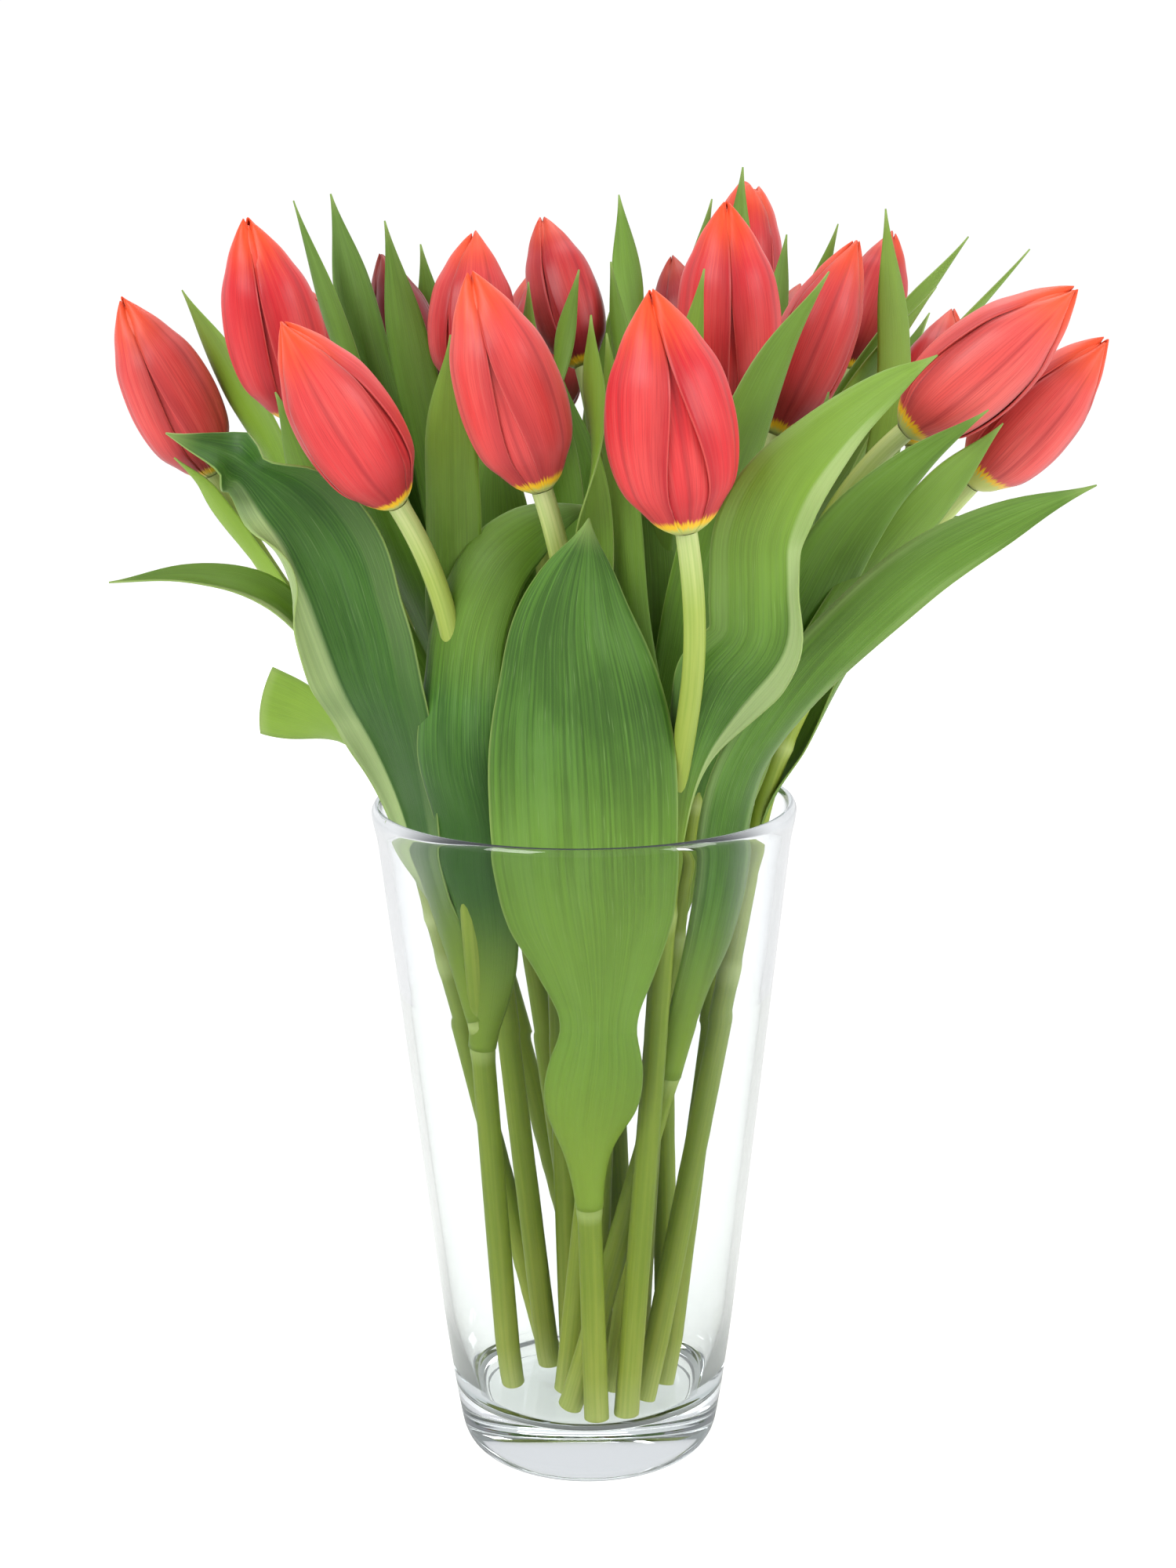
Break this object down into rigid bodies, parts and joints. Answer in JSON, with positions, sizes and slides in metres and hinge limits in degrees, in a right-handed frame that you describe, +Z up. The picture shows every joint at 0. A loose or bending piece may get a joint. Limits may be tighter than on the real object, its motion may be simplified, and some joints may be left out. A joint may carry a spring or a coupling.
{
  "type": "tulips in a glass vase",
  "caption": "Bunch of red tulips with broad arching leaves, standing in water in a tall tapered clear glass vase with a thick base.",
  "frame": {"origin": "middle of the flat underside of the vase", "axes": "+Z up the vase's axis, -Y towards the front of the bunch"},
  "size_m": [0.2772, 0.2556, 0.3791],
  "materials": {
    "clear_glass": "polished clear",
    "water": "clear, still",
    "petal": "satin",
    "stem_and_leaf": "satin with a waxy bloom"
  },
  "bodies": {
    "root": {"vase": "clear_glass", "water": "water", "leafy_stem_01": "stem_and_leaf", "bloom_01": "petal", "leafy_stem_02": "stem_and_leaf", "bloom_02": "petal", "leafy_stem_03": "stem_and_leaf", "bloom_03": "petal", "leafy_stem_04": "stem_and_leaf", "bloom_04": "petal", "leafy_stem_05": "stem_and_leaf", "bloom_05": "petal", "leafy_stem_06": "stem_and_leaf", "bloom_06": "petal", "leafy_stem_07": "stem_and_leaf", "bloom_07": "petal", "leafy_stem_08": "stem_and_leaf", "bloom_08": "petal", "leafy_stem_09": "stem_and_leaf", "bloom_09": "petal", "leafy_stem_10": "stem_and_leaf", "bloom_10": "petal", "leafy_stem_11": "stem_and_leaf", "bloom_11": "petal", "leafy_stem_12": "stem_and_leaf", "bloom_12": "petal", "leafy_stem_13": "stem_and_leaf", "bloom_13": "petal", "leafy_stem_14": "stem_and_leaf", "bloom_14": "petal", "leafy_stem_15": "stem_and_leaf", "bloom_15": "petal", "leafy_stem_16": "stem_and_leaf", "bloom_16": "petal", "leafy_stem_17": "stem_and_leaf", "bloom_17": "petal", "leafy_stem_18": "stem_and_leaf", "bloom_18": "petal", "leafy_stem_19": "stem_and_leaf", "bloom_19": "petal"}
  },
  "joints": []
}
